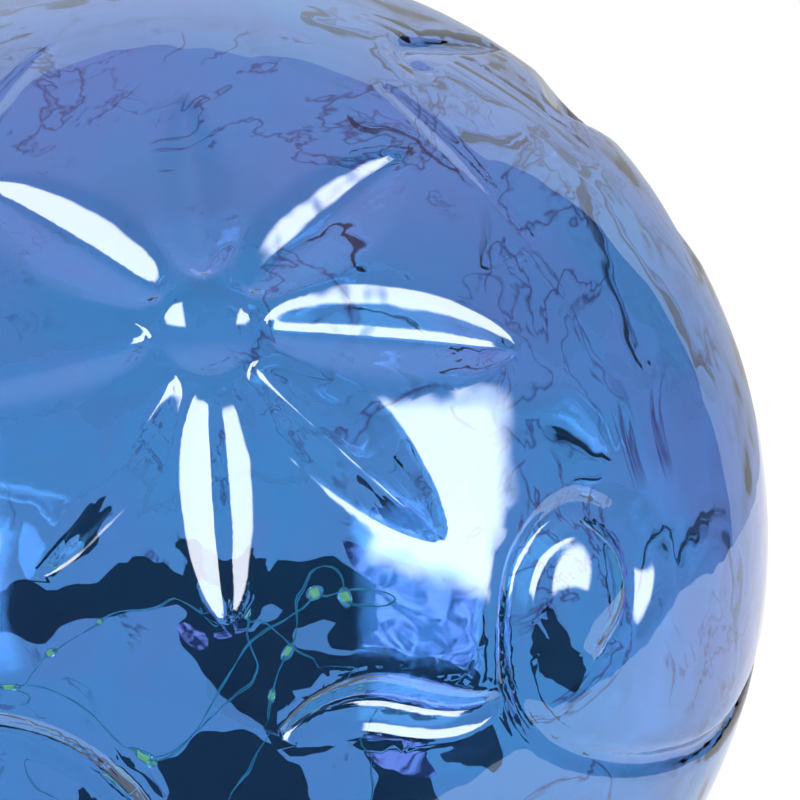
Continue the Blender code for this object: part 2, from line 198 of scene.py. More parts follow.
# Painted shade seen through the glass: dark sheets behind the ball, as pixels of the photograph,
# that block no light, and bright gaps in them
PAINTED_SHADE_BEHIND = 0.17
GAP_BEHIND = 0.165
PAINTED_SHADE_SHAPES = {
    "band": [
        (-30, 600), (0, 591), (30, 582), (61, 577), (74, 582), (102, 571), (112, 564), (128, 563),
        (138, 559), (153, 563), (168, 559), (194, 564), (212, 566), (255, 567), (276, 562),
        (306, 563), (330, 562), (350, 570), (383, 583), (398, 599), (396, 613), (383, 628),
        (371, 638), (367, 650), (360, 668), (330, 670), (302, 676), (276, 690), (269, 713),
        (271, 734), (265, 738), (255, 729), (235, 708), (217, 693), (201, 675), (187, 656),
        (176, 640), (176, 622), (186, 612), (153, 610), (128, 611), (102, 614), (79, 619),
        (59, 624), (48, 638), (15, 641), (0, 642), (-30, 646)],
    "foot": [
        (145, 764), (158, 757), (176, 752), (194, 739), (217, 736), (240, 736), (255, 744),
        (281, 752), (293, 754), (306, 767), (314, 785), (316, 803), (310, 830), (160, 830),
        (165, 803), (153, 782)],
    "corner": [(80, 797), (89, 784), (102, 789), (122, 802), (130, 822), (78, 822)],
    "round_leaf": [
        (266, 676), (300, 668), (330, 666), (350, 655), (385, 653), (418, 663), (440, 663),
        (462, 674), (472, 682), (484, 692), (497, 702), (498, 713), (478, 717), (468, 723),
        (448, 729), (420, 736), (377, 741), (358, 733), (331, 733), (301, 736), (280, 741),
        (268, 728), (262, 705)],
    "under_leaf": [
        (379, 744), (404, 746), (426, 748), (451, 744), (471, 732), (482, 720), (491, 705),
        (486, 678), (497, 676), (506, 695), (510, 715), (514, 736), (522, 756), (520, 766),
        (504, 782), (491, 771), (475, 771), (467, 767), (451, 772), (436, 763), (426, 775),
        (428, 787), (436, 802), (440, 825), (378, 825), (388, 785), (379, 775)],
    "scroll": [
        (512, 617), (532, 618), (546, 636), (560, 647), (574, 655), (592, 668), (606, 684),
        (600, 702), (578, 702), (552, 690), (530, 672), (515, 648)],
}
GAPS = {
    "beside_leaf": [
        (295, 622), (318, 624), (334, 621), (344, 625), (340, 636), (343, 650), (363, 658),
        (371, 664), (350, 665), (334, 660), (318, 656), (302, 654), (296, 646), (292, 632)],
    "above_v": [(242, 620), (249, 613), (265, 607), (283, 610), (269, 622), (257, 628), (246, 628)],
    "in_v": [(209, 683), (230, 703), (258, 729), (262, 735), (245, 732), (224, 716), (209, 698)],
}

# Painted reflection: violet glowing sheets behind the glass, a cloud below the large highlight,
# and gleams between the dark sheets
PAINTED_GLOWS = {
    "large": [
        (346, 545), (350, 562), (362, 572), (380, 583), (398, 590), (402, 604), (392, 618),
        (366, 646), (385, 652), (400, 655), (419, 663), (439, 665), (460, 676), (472, 684),
        (487, 674), (489, 640), (486, 600), (478, 580), (440, 572), (400, 560), (370, 548)],
    "under_leaf": [(380, 752), (398, 747), (412, 757), (424, 768), (437, 791), (420, 785),
                   (404, 777), (386, 769)],
    "left": [(174, 623), (190, 621), (203, 632), (206, 646), (197, 652), (184, 644), (176, 634)],
    "right": [(208, 635), (222, 629), (238, 617), (242, 626), (232, 639), (216, 641)],
}

# Where the glass is painted teal: the way to it, its reach in radii of the ball, and how much
# violet stands there and elsewhere before the clouds are added. The split by side is painted light.
TEAL_WAY = (0, -0.97, -0.24)
TEAL_SPAN = (0.68, 0.38)
TEAL_LIFT = (-0.75, 0.35)
CLOUD_SPAN = (0.35, 0.65)

# Veins: the swirl's values that a vein spans, and the belt that has most of them, as its axis, its
# distance from the ball's middle, half width, full part of that, and lift of the patches' noise
VEIN_SPAN = (0.485, 0.5, 0.511)
VEIN_PATCHES = (0.49, 0.56)
VEIN_WAY = (0, -0.956, 0.292)
VEIN_BELT = 0.079
VEIN_BELT_HALF_WIDTH = 0.022
VEIN_BELT_FULL = 0.4
VEIN_BELT_LIFT = (-0.03, 0.09)

# Noise of the materials as scale, detail, distortion and roughness
SWIRL_NOISE = (14.0, 5.0, 1.2, 0.62)
PATCH_NOISE = (26.0, 1.0)
CLOUD_NOISE = (22.0, 2.0, 0.8)
WAVE_NOISE = (90.0, 1.0)
PLASTIC_NOISE = (60.0, 4.0)
GRAIN_NOISE = (2500.0, 2.0)
WIRE_NOISE = (180.0, 2.0)
EPOXY_NOISE = (400.0, 2.0)
CHIP_NOISE = (900.0, 2.0)
GLOW_NOISE = (110.0, 5.0, 3.0)

# Colours and other values of the materials
GLASS_IOR = 1.5
WAVE_SHARE = 0.9
INSIDE_TINT = (0.75, 0.90, 0.98, 1)
PLASTIC_COLOURS = ((0.028, 0.030, 0.034, 1), (0.050, 0.052, 0.058, 1))
PLASTIC_ROUGHNESS = (0.34, 0.58)
GRAIN_DEPTH = 0.0001
GRAIN_STRENGTH = 0.4
EPOXY_COLOURS = ((0.80, 1.0, 0.90, 1), (0.65, 0.92, 0.85, 1))
CHIP_BRIGHT = (1.0, 1.0, 0.35, 1)
FLOOR_COLOUR = (0.78, 0.78, 0.79, 1)
# Black of the sheets that paint shade seen through the glass
PAINTED_SHADE_COLOUR = (0.004, 0.004, 0.008, 1)
ROOM_COLOUR = (0.62, 0.46, 0.80, 1)
BACKDROP_COLOUR = (0.94, 0.96, 1.0, 1)
# Violet of the glowing sheets that paint reflections seen through the glass
GLOW_COLOURS = ((0.12, 0.05, 0.15, 1), (2.3, 1.2, 1.7, 1))
GLOW_SPAN = (0.42, 0.60)
WHITE = (1, 1, 1, 1)
BLACK = (0, 0, 0, 1)

# Studio: a wide pale table, a white backdrop behind it and a dim room round the rest. The spans
# of the ceiling and the backdrop are in radii of the room, and a softbox has the azimuths and
# elevations that it covers as the ball's front sees it, its roll and its yaw, in degrees.
TABLE_RADIUS = 0.47
TABLE_SEGMENTS = 128
TABLE_STRETCH = 1.6
TABLE_BEHIND = 0.24
ROOM_RADIUS = 6.0
BACKDROP_SIDE_SLOPE = 1.04
BACKDROP_TOP_SLOPE = 1.26
SOFTBOX_DISTANCE = 3.2
SOFTBOX_WATTS_PER_AREA = 34.0
SOFTBOX_COLOUR = (1.0, 0.93, 0.95)
SOFTBOX_EDGE = 0.15
SOFTBOXES = {
    "softbox_right": ((34.5, 69.5), (-9.5, 27.5), -9.5, 15),
    "softbox_left": ((-71, -35.5), (-11, 27.5), 9.5, -15),
}
SHEET_STEP = 0.002
BACKDROP_SPAN = (0.0, 0.6)
BACKDROP_LOW_GLOW = 0.62
BACKDROP_HIGH_GLOW = 1.3
ROOM_GLOW = 0.02
CEILING_GLOW = 0.9
CEILING_WAY = (0, 0.5, 0.87)
CEILING_SPAN = (0.55, 0.97)

# What every colour setting shares
COLOUR = {"subtype": "COLOR", "size": 4, "min": 0, "max": 1}


class BallSettings(bpy.types.PropertyGroup):
    # Blue of the glass; its teal front and violet elsewhere are painted light
    front_colour: FloatVectorProperty(
        name="Colour in front", description="Teal blue of the front glass",
        default=(0.062, 0.262, 0.59, 1), **COLOUR)
    far_colour: FloatVectorProperty(
        name="Colour elsewhere", description="Violet blue of the other glass",
        default=(0.125, 0.215, 0.54, 1), **COLOUR)
    lustre_colour: FloatVectorProperty(
        name="Vein colour", description="Purple of the fine veins in the lustre",
        default=(0.03, 0.018, 0.09, 1), **COLOUR)
    film_thickness: FloatProperty(
        name="Lustre thickness", min=0, max=1000, default=60,
        description="Thickness of the metal film on the glass, in nanometres")
    film_ior: FloatProperty(
        name="Lustre index", description="Refractive index of the metal film on the glass",
        min=1, max=4, default=1.65)
    ripple: FloatProperty(
        name="Ripple", description="Unevenness of the blown surface", unit="LENGTH",
        min=0, max=0.001, default=0.00012)
    fineness: IntProperty(
        name="Fineness", description="Times the pattern's zones are divided", min=0, max=2,
        default=2)


class LightsSettings(bpy.types.PropertyGroup):
    wire_thickness: FloatProperty(
        name="Wire thickness", description="Diameter of each of the twin wires", unit="LENGTH",
        min=0.0001, max=0.002, default=0.00024)
    bead_length: FloatProperty(
        name="Bead length", description="Length of a clear bead", unit="LENGTH",
        min=0.001, max=0.01, default=0.0046)
    wire_colour: FloatVectorProperty(
        name="Wire colour", description="Lacquered wire", default=(0.10, 0.32, 0.27, 1), **COLOUR)
    # Pale cyan of the patches that paint the wire's highlights
    wire_highlight_colour: FloatVectorProperty(
        name="Worn wire colour", description="Where the lacquer is thin",
        default=(0.45, 0.85, 0.80, 1), **COLOUR)
    chip_colour: FloatVectorProperty(
        name="Chip colour", description="Yellow chip in each bead",
        default=(0.85, 0.90, 0.10, 1), **COLOUR)


class StageSettings(bpy.types.PropertyGroup):
    camera_distance: FloatProperty(
        name="Camera distance", description="From the camera to the ball's middle", unit="LENGTH",
        min=0.5, max=10, default=4.0)
    camera_elevation: FloatProperty(
        name="Camera elevation", description="How far the camera looks down, in degrees",
        min=0, max=60, default=17.0)


def unit(azimuth, latitude):
    """Direction from the ball's middle; azimuth 0 is the front, and it grows towards +X."""
    a = math.radians(azimuth)
    b = math.radians(latitude)
    return np.array((math.cos(b) * math.sin(a), -math.cos(b) * math.cos(a), math.sin(b)))


def place_on_ball(azimuth, latitude, east, north):
    """Direction reached from a point by walking an arc, in metres on the ball's surface."""
    walk = math.hypot(east, north)
    if walk == 0:
        return unit(azimuth, latitude)
    way = (east * unit(azimuth + 90, 0) + north * unit(azimuth, latitude + 90)) / walk
    angle = walk / BALL_RADIUS
    return math.cos(angle) * unit(azimuth, latitude) + math.sin(angle) * way


def smooth_points(points, spacing, step):
    """Points on a smooth curve through the given ones, about one step apart."""
    points = np.array(points, float)
    before = 2 * points[0] - points[1]
    after = 2 * points[-1] - points[-2]
    line = np.vstack((before, points, after))
    curve = []
    for i in range(1, len(line) - 2):
        p0, p1, p2, p3 = line[i - 1:i + 3]
        count = max(2, int(round(np.linalg.norm(p2 - p1) * spacing / step)))
        for t in np.arange(count) / count:
            curve.append(0.5 * (2 * p1 + (p2 - p0) * t + (2 * p0 - 5 * p1 + 4 * p2 - p3) * t ** 2
                                + (3 * p1 - p0 - 3 * p2 + p3) * t ** 3))
    curve.append(line[-2])
    return np.array(curve)


def curve_on_ball(points):
    curve = smooth_points(points, BALL_RADIUS, CURVE_STEP)
    return curve / np.linalg.norm(curve, axis=1)[:, None]


def along(curve):
    steps = np.linalg.norm(np.diff(curve, axis=0), axis=1)
    return np.concatenate(([0.0], np.cumsum(steps)))


def lens(curve, half_width, ends, slope):
    """Flute with pointed ends; the smaller the power of an end, the blunter it is."""
    share = along(curve) / along(curve)[-1]
    start, end = ends
    fullest = start / (start + end)
    width = half_width * (share / fullest) ** start * ((1 - share) / (1 - fullest)).clip(0) ** end
    return curve, width, width, slope


def petal(azimuth, angle, reach, half_width):
    turn = math.radians(angle)
    points = [place_on_ball(azimuth, DAISY_LATITUDE, r * math.cos(turn), r * math.sin(turn))
              for r in (PETAL_START, (PETAL_START + reach) / 2, reach)]
    return lens(curve_on_ball(points), half_width, PETAL_ENDS, PETAL_SLOPE)


def leaf(azimuth):
    points = []
    for x in np.linspace(LEAF_START, LEAF_END, LEAF_POINTS):
        y = LEAF_TILT * x + LEAF_WAVE_HEIGHT * math.sin(
            2 * math.pi * (x - LEAF_START) / LEAF_WAVE_LENGTH)
        points.append(place_on_ball(azimuth + LEAF_AZIMUTH, LEAF_LATITUDE, x, y))
    return lens(curve_on_ball(points), LEAF_HALF_WIDTH, LEAF_ENDS, LEAF_SLOPE)


def scroll(azimuth):
    points = [place_on_ball(azimuth + SCROLL_EYE_AZIMUTH, SCROLL_EYE_LATITUDE,
                            east / 1000, north / 1000) for east, north, _, _ in COIL]
    points += [unit(azimuth + a, latitude) for a, latitude in SCROLL_TAIL]
    curve = curve_on_ball(points)
    walked = along(curve) * BALL_RADIUS
    marks = along(np.array(points))[:len(COIL)] * BALL_RADIUS
    taper = np.sqrt((np.minimum(walked, walked[-1] - walked) / SCROLL_TAPER).clip(0, 1))
    outside = np.interp(walked, marks, [row[2] / 1000 for row in COIL]) * taper
    inside = np.interp(walked, marks, [row[3] / 1000 for row in COIL]) * taper
    return curve, inside, outside, SCROLL_SLOPE


def tall_flute(azimuth, top, foot):
    places = np.linspace(top, foot, FLUTE_POINTS)
    curve = curve_on_ball([unit(azimuth + a, latitude) for a, latitude in places])
    return lens(curve, FLUTE_HALF_WIDTH, FLUTE_ENDS, FLUTE_SLOPE)


def hook(azimuth):
    curve = curve_on_ball([unit(azimuth + a, latitude) for a, latitude in HOOK_PATH])
    return lens(curve, HOOK_HALF_WIDTH, HOOK_ENDS, HOOK_SLOPE)


def all_flutes():
    flutes = []
    for group, azimuth in enumerate(GROUP_AZIMUTHS):
        flutes += [petal(azimuth, angle, reach / 1000, half_width / 1000)
                   for angle, reach, half_width in PETALS]
        flutes += [leaf(azimuth), scroll(azimuth)]
        flutes += [tall_flute(azimuth, top, foot) for top, foot in FLUTES]
        if group < HOOK_GAPS:
            flutes.append(hook(azimuth))
    return flutes


def cross_section(across):
    """Depth across a flute of half width and slope 1: soft lips, even flanks, a tight crease."""
    across = across.clip(0, 1)
    lip = (1 - across) ** 2 / (2 * LIP_SHARE)
    flank = 1 - LIP_SHARE / 2 - across
    crease = (CREASE_SHARE - across).clip(0) ** 2 / (2 * CREASE_SHARE)
    return np.where(across > 1 - LIP_SHARE, lip, flank - crease)


def press_flute(directions, sunk, flute):
    curve, left, right, slope = flute
    middle = curve.mean(axis=0)
    middle /= np.linalg.norm(middle)
    reach = (np.arccos((curve @ middle).clip(-1, 1)).max()
             + max(left.max(), right.max()) / BALL_RADIUS)
    near = np.nonzero(directions @ middle > math.cos(reach))[0]
    places = directions[near]
    best = np.full(len(near), np.inf)
    wide = np.ones(len(near))
    tall = np.zeros(len(near))
    for i in range(len(curve) - 1):
        step = curve[i + 1] - curve[i]
        offset = places - curve[i]
        t = (offset @ step / (step @ step)).clip(0, 1)
        gap = np.linalg.norm(offset - t[:, None] * step, axis=1) * BALL_RADIUS
        widths = [w[i] + t * (w[i + 1] - w[i]) for w in (left, right)]
        side = np.where(offset @ np.cross(curve[i], step) > 0, *widths).clip(LEAST_WIDTH)
        closer = gap < best
        best = np.where(closer, gap, best)
        wide = np.where(closer, side, wide)
        tall = np.where(closer, np.sqrt(widths[0] * widths[1]), tall)
    depth = slope * tall * cross_section(best / wide)
    sunk[near] = joined(sunk[near], depth)


def joined(one, other):
    """The deeper of two depths, with a soft ridge where they meet."""
    return (one ** RIDGE_POWER + other ** RIDGE_POWER) ** (1 / RIDGE_POWER)


def distance_on_ball(directions, place):
    return np.arccos((directions @ place).clip(-1, 1)) * BALL_RADIUS


def press_dish(directions, sunk, azimuth):
    """The daisy's middle, a round dish with a soft rim."""
    distance = distance_on_ball(directions, unit(azimuth, DAISY_LATITUDE))
    within = 1 - (distance / DISH_RADIUS) ** 2
    sunk[:] = joined(sunk, DISH_DEPTH * (within + np.hypot(within, DISH_SOFTNESS)) / 2)


def raise_pillow(directions, sunk, azimuth):
    """The swollen glass in the scroll's eye."""
    place = place_on_ball(azimuth + SCROLL_EYE_AZIMUTH, SCROLL_EYE_LATITUDE, PILLOW_EAST, 0)
    distance = distance_on_ball(directions, place)
    sunk -= PILLOW_RISE * (1 - (distance / PILLOW_RADIUS) ** 2).clip(0) ** 2


def pattern_depth(directions):
    sunk = np.zeros(len(directions))
    for flute in all_flutes():
        press_flute(directions, sunk, flute)
    for azimuth in GROUP_AZIMUTHS:
        press_dish(directions, sunk, azimuth)
    for azimuth in GROUP_AZIMUTHS:
        raise_pillow(directions, sunk, azimuth)
    return sunk


def directions_of(verts):
    found = np.array([v.co[:] for v in verts])
    return found / np.linalg.norm(found, axis=1)[:, None]


def divide_pattern(bm, times):
    """Divide the triangles where the pattern is, so that its lips and creases come out crisp."""
    for _ in range(times):
        sunk = np.abs(pattern_depth(directions_of(bm.verts)))
        bm.verts.index_update()
        edges = [e for e in bm.edges if any(sunk[v.index] > DIVIDED_FROM for v in e.verts)]
        bmesh.ops.subdivide_edges(bm, edges=edges, cuts=1)
        bmesh.ops.triangulate(bm, faces=[f for f in bm.faces if len(f.verts) > 3])
        for v in bm.verts:
            v.co.normalize()


def unevenness(direction, seed, size):
    """Gentle waves of hand-blown glass, mostly from -1 to 1."""
    place = Vector(direction) * size + Vector((seed, 0, 0))
    return noise.noise(place) + FINER_SHARE * noise.noise(place * FINER_WAVES)


def blown_ball(times, radius, follows, ripple, seed):
    """Ball that follows the pattern by a share, with its waves."""
    bm = bmesh.new()
    bmesh.ops.create_icosphere(bm, subdivisions=BALL_SUBDIVISIONS, radius=1.0)
    divide_pattern(bm, times)
    directions = directions_of(bm.verts)
    sunk = pattern_depth(directions)
    for v, way, depth in zip(bm.verts, directions, sunk):
        wave = ripple * sum(share * unevenness(way, seed + more, size)
                            for more, size, share in WAVES)
        v.co = BALL_CENTRE + Vector(way) * (radius - follows * depth + wave)
    return bm


def open_bottom(bm, radius, ring_radius):
    """Cut the ball off level where it has the ring's radius, and return the open loop."""
    level = BALL_CENTRE.z - math.sqrt(radius ** 2 - ring_radius ** 2)
    bmesh.ops.bisect_plane(bm, geom=bm.verts[:] + bm.edges[:] + bm.faces[:],
                           dist=CUT_TOLERANCE, plane_co=(0, 0, level), plane_no=(0, 0, -1),
                           clear_outer=True)
    return [e for e in bm.edges if e.is_boundary], level


def draw_down(bm, loop, profile):
    """Extrude a loop through rings given as (radius, height)."""
    for radius, height in profile:
        made = bmesh.ops.extrude_edge_only(bm, edges=loop)["geom"]
        loop = [g for g in made if isinstance(g, bmesh.types.BMEdge)]
        for v in {v for e in loop for v in e.verts}:
            flat = Vector((v.co.x, v.co.y, 0)).normalized() * radius
            v.co = (flat.x, flat.y, height)
    return loop


def add_object(name, data):
    made = bpy.data.objects.new(name, data)
    bpy.context.scene.collection.objects.link(made)
    return made


def finish_piece(name, bm, materials, sharp=None):
    mesh = bpy.data.meshes.new(name)
    bm.to_mesh(mesh)
    bm.free()
    piece = add_object(name, mesh)
    for material in materials:
        mesh.materials.append(material)
    mesh.shade_smooth()
    if sharp is not None:
        mesh.set_sharp_from_angle(angle=math.radians(sharp))
    return piece


def new_material(name, values):
    """Material whose shader has these plain values."""
    material = bpy.data.materials.new(name)
    material.use_nodes = True
    tree = material.node_tree
    shader = tree.nodes["Principled BSDF"]
    for key, value in values.items():
        shader.inputs[key].default_value = value
    return material, tree, shader


def feed(tree, node, terms):
    """Give a node's inputs their sockets or plain values."""
    for key, term in terms:
        if isinstance(term, bpy.types.NodeSocket):
            tree.links.new(term, node.inputs[key])
        else:
            node.inputs[key].default_value = term


def places_on(tree):
    return tree.nodes.new("ShaderNodeTexCoord").outputs["Object"]


def noise_on(tree, where, scale, detail, distortion=0.0, roughness=0.5):
    node = tree.nodes.new("ShaderNodeTexNoise")
    feed(tree, node, (("Vector", where), ("Scale", scale), ("Detail", detail),
                      ("Distortion", distortion), ("Roughness", roughness)))
    return node.outputs["Fac"]


def calculate(tree, operation, *terms, clamp=False):
    """Sum, product or the like of sockets and plain numbers."""
    node = tree.nodes.new("ShaderNodeMath")
    node.operation = operation
    node.use_clamp = clamp
    feed(tree, node, enumerate(terms))
    return node.outputs["Value"]


def calculate_vector(tree, operation, *terms):
    node = tree.nodes.new("ShaderNodeVectorMath")
    node.operation = operation
    feed(tree, node, enumerate(terms))
    return node.outputs


def map_range(tree, value, span, onto=(0.0, 1.0), smooth=False):
    """Where a value lies in one span, laid onto another."""
    node = tree.nodes.new("ShaderNodeMapRange")
    if smooth:
        node.interpolation_type = "SMOOTHSTEP"
    names = ("Value", "From Min", "From Max", "To Min", "To Max")
    feed(tree, node, zip(names, (value, *span, *onto)))
    return node.outputs["Result"]


def mixed(tree, share, one, other):
    """Colour between two, by a share of the other."""
    node = tree.nodes.new("ShaderNodeMix")
    node.data_type = "RGBA"
    feed(tree, node, (("Factor", share), ("A", one), ("B", other)))
    return node.outputs["Result"]


def roughen(tree, shader, height, distance, strength=1.0):
    """Small bumps on the surface."""
    node = tree.nodes.new("ShaderNodeBump")
    feed(tree, node, (("Strength", strength), ("Distance", distance), ("Height", height)))
    tree.links.new(node.outputs["Normal"], shader.inputs["Normal"])


def clouded(tree, shader, noise_values, one, other):
    """Base colour that wanders between two; its noise and the colour are returned."""
    cloud = noise_on(tree, places_on(tree), *noise_values)
    colour = mixed(tree, cloud, one, other)
    tree.links.new(colour, shader.inputs["Base Color"])
    return cloud, colour


def lustre_glass(settings):
    """Blue glass whose outside has a thin mirror lustre with fine purple veins."""
    material, tree, shader = new_material("lustre_glass", {
        "Roughness": 0.012, "IOR": GLASS_IOR, "Transmission Weight": 1.0,
        "Thin Film Thickness": settings.film_thickness, "Thin Film IOR": settings.film_ior})
    where = places_on(tree)
    off = calculate(tree, "SUBTRACT", distance_towards(tree, where, VEIN_WAY), VEIN_BELT)
    belt = map_range(tree, calculate(tree, "ABSOLUTE", off),
                     (VEIN_BELT_HALF_WIDTH, VEIN_BELT_FULL * VEIN_BELT_HALF_WIDTH),
                     VEIN_BELT_LIFT, smooth=True)
    patches = calculate(tree, "ADD", noise_on(tree, where, *PATCH_NOISE), belt)
    veins = calculate(tree, "MULTIPLY", vein_lines(tree, where),
                      map_range(tree, patches, VEIN_PATCHES))
    colour = mixed(tree, veins, painted_two_blues(tree, where, settings), settings.lustre_colour)
    tree.links.new(colour, shader.inputs["Base Color"])
    roughen(tree, shader, noise_on(tree, where, *WAVE_NOISE), WAVE_SHARE * settings.ripple)
    return material


def distance_towards(tree, where, way):
    """How far a place lies from the ball's middle in a direction."""
    off = calculate_vector(tree, "SUBTRACT", where, BALL_CENTRE)["Vector"]
    return calculate_vector(tree, "DOT_PRODUCT", off, way)["Value"]


def painted_two_blues(tree, where, settings):
    """Painted light: teal in front and violet elsewhere, with clouds of each in the other."""
    span = [share * BALL_RADIUS for share in TEAL_SPAN]
    rise = map_range(tree, distance_towards(tree, where, TEAL_WAY), span, TEAL_LIFT)
    lift = map_range(tree, noise_on(tree, where, *CLOUD_NOISE), CLOUD_SPAN)
    share = calculate(tree, "ADD", rise, lift, clamp=True)
    return mixed(tree, share, settings.front_colour, settings.far_colour)


def vein_lines(tree, where):
    """Thin lines where a swirling noise passes its middle value."""
    line = tree.nodes.new("ShaderNodeValToRGB")
    start, peak, end = VEIN_SPAN
    for stop, position in zip(line.color_ramp.elements, (start, end)):
        stop.position = position
        stop.color = BLACK
    line.color_ramp.elements.new(peak).color = WHITE
    tree.links.new(noise_on(tree, where, *SWIRL_NOISE), line.inputs["Fac"])
    return line.outputs["Color"]


def inside_glass():
    return new_material("inside_glass", {
        "Base Color": INSIDE_TINT, "Roughness": 0.01, "IOR": GLASS_IOR,
        "Transmission Weight": 1.0})[0]


def neck_rings(level):
    """The neck from the ball's opening down and round the lip, as radii and heights."""
    rings = []
    for k in range(1, FLARE_STEPS + 1):
        t = math.radians(90 * (1 - k / FLARE_STEPS))
        rings.append((NECK_RADIUS + NECK_FLARE * (1 - math.cos(t)),
                      level - NECK_FLARE * FLARE_TALL * (1 - math.sin(t))))
    rim = BALL_LOW.z
    corner = LIP_CORNER * LIP
    return rings + [(NECK_RADIUS, rim + LIP), (NECK_RADIUS - corner, rim + corner),
                    (NECK_RADIUS - LIP, rim), (BORE + LIP, rim), (BORE + corner, rim + corner),
                    (BORE, rim + LIP)]


class OBJECT_OT_gazing_ball_glass(bpy.types.Operator):
    """Blow the hollow glass ball with its pressed pattern and its neck"""
    bl_idname = "object.gazing_ball_glass"
    bl_label = "Glass ball"

    def execute(self, context):
        settings = context.scene.gazing_ball
        outside = blown_ball(settings.fineness, BALL_RADIUS, 1.0, settings.ripple, OUTSIDE_SEED)
        inside = blown_ball(max(0, settings.fineness - 1), BALL_RADIUS - WALL, INSIDE_FOLLOWS,
                            INSIDE_RIPPLE * settings.ripple, INSIDE_SEED)
        loop, level = open_bottom(outside, BALL_RADIUS, NECK_RADIUS + NECK_FLARE)
        _, inner_level = open_bottom(inside, BALL_RADIUS - WALL, BORE + INSIDE_FLARE)
        loop = draw_down(outside, loop, neck_rings(level))
        draw_down(outside, loop, [(BORE + wider, inner_level - lower)
                                  for wider, lower in INSIDE_RINGS])
        outer_faces = len(outside.faces)
        mesh = bpy.data.meshes.new("inside")
        inside.to_mesh(mesh)
        inside.free()
        outside.from_mesh(mesh)
        bpy.data.meshes.remove(mesh)
        outside.faces.ensure_lookup_table()
        for face in outside.faces[outer_faces:]:
            face.material_index = 1
        edges = [e for e in outside.edges if e.is_boundary]
        bmesh.ops.bridge_loops(outside, edges=edges)
        bmesh.ops.triangulate(outside, faces=[f for f in outside.faces if len(f.verts) > 4])
        bmesh.ops.recalc_face_normals(outside, faces=outside.faces)
        piece = finish_piece("blown_glass", outside, [lustre_glass(settings), inside_glass()])
        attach(piece, "root")
        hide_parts("glass_ball")
        return {"FINISHED"}


def dark_plastic():
    """Moulded plastic with a fine grain and rubbed patches."""
    material, tree, shader = new_material("dark_plastic", {})
    patches, _ = clouded(tree, shader, PLASTIC_NOISE, *PLASTIC_COLOURS)
    rubbed = map_range(tree, patches, (0.0, 1.0), PLASTIC_ROUGHNESS)
    tree.links.new(rubbed, shader.inputs["Roughness"])
    grain = noise_on(tree, places_on(tree), *GRAIN_NOISE)
    roughen(tree, shader, grain, GRAIN_DEPTH, GRAIN_STRENGTH)
    return material


class OBJECT_OT_gazing_ball_plug(bpy.types.Operator):
    """Finish the plug in the neck"""
    bl_idname = "object.gazing_ball_plug"
    bl_label = "Neck plug"

    def execute(self, context):
        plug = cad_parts["neck_plug"]
        plug.data.materials.clear()
        plug.data.materials.append(dark_plastic())
        return {"FINISHED"}


def behind_pixel(settings, x, y, nearer):
    """Place seen at a pixel, so much nearer than the ball's middle."""
    axes = Matrix(view_axes(settings.camera_elevation)).transposed()
    pixels, turn = lens_and_turn(settings.camera_distance)
    ray = turn.inverted() @ Vector((x - PHOTO_SIZE / 2, PHOTO_SIZE / 2 - y, -pixels))
    return BALL_CENTRE + axes @ (ray * ((settings.camera_distance - nearer) / -ray.z)
                                 + Vector((0, 0, settings.camera_distance)))


def wire_curve(name, routes, radius):
    """Round wires, one along each route."""
    data = bpy.data.curves.new(name, "CURVE")
    data.dimensions = "3D"
    data.bevel_depth = radius
    data.bevel_resolution = 1
    data.use_fill_caps = True
    for route in routes:
        spline = data.splines.new("POLY")
        spline.points.add(len(route) - 1)
        for point, place in zip(spline.points, route):
            point.co = (*place, 1)
    return add_object(name, data)


def twin_routes(route, apart, turn_length):
    """Two lines that wind round a route, so much apart and a turn in each turn length."""
    points = [Vector(p) for p in route]
    across = (points[1] - points[0]).orthogonal().normalized()
    walked = 0.0
    twins = ([], [])
    for i, point in enumerate(points):
        after = points[min(i + 1, len(points) - 1)]
        ahead = (after - points[max(i - 1, 0)]).normalized()
        across = (across - ahead * across.dot(ahead)).normalized()
        wind = 2 * math.pi * walked / turn_length
        side = (across * math.cos(wind) + ahead.cross(across) * math.sin(wind)) * apart / 2
        twins[0].append(point + side)
        twins[1].append(point - side)
        walked += (after - point).length
    return twins


def from_nub(steps):
    """Places reached by steps from the nub on the plug."""
    nub = Vector((0, 0, PLUG_HIGH.z - NUB_SINK))
    return [nub + Vector(step) for step in steps]


def smooth_route(places, step):
    return smooth_points([p[:] for p in places], 1.0, step)


def seen_route(stage, rows):
    """Places of rows that hold a pixel and the millimetres nearer than the ball's middle."""
    return [behind_pixel(stage, x, y, nearer / 1000) for x, y, nearer in rows]


def lights_route(stage):
    """The string's centre line, from the nub on the plug round the ball and back."""
    seen = seen_route(stage, LIGHTS_ROUTE)
    return smooth_route(from_nub(STRING_OUT) + seen + from_nub(STRING_BACK), WIRE_STEP)


def side_routes(stage):
    """The shorter strands; the first goes down to the nub on the plug."""
    down, up = (seen_route(stage, rows) for rows in SIDE_ROUTES)
    return [smooth_route(line, WIRE_STEP) for line in (down + from_nub(SIDE_BACK), up)]


def wire_material(settings):
    """Lacquered green wire with pale cyan patches here and there: painted highlights."""
    material, tree, shader = new_material("lacquered_wire", {"Metallic": 0.4, "Roughness": 0.35})
    clouded(tree, shader, WIRE_NOISE, settings.wire_colour, settings.wire_highlight_colour)
    return material


def epoxy_material():
    """Clear drop of epoxy, a little cloudy."""
    material, tree, shader = new_material("clear_epoxy", {
        "Roughness": 0.08, "IOR": GLASS_IOR, "Transmission Weight": 0.9})
    clouded(tree, shader, EPOXY_NOISE, *EPOXY_COLOURS)
    return material


def chip_material(settings):
    """Yellow phosphor of a light chip, brighter where its grain is, with a faint painted glow."""
    material, tree, shader = new_material("yellow_chip", {
        "Roughness": 0.4, "Emission Strength": 0.6})
    _, colour = clouded(tree, shader, CHIP_NOISE, settings.chip_colour, CHIP_BRIGHT)
    # Painted glow: the chip's yellow given off as light
    tree.links.new(colour, shader.inputs["Emission Color"])
    return material


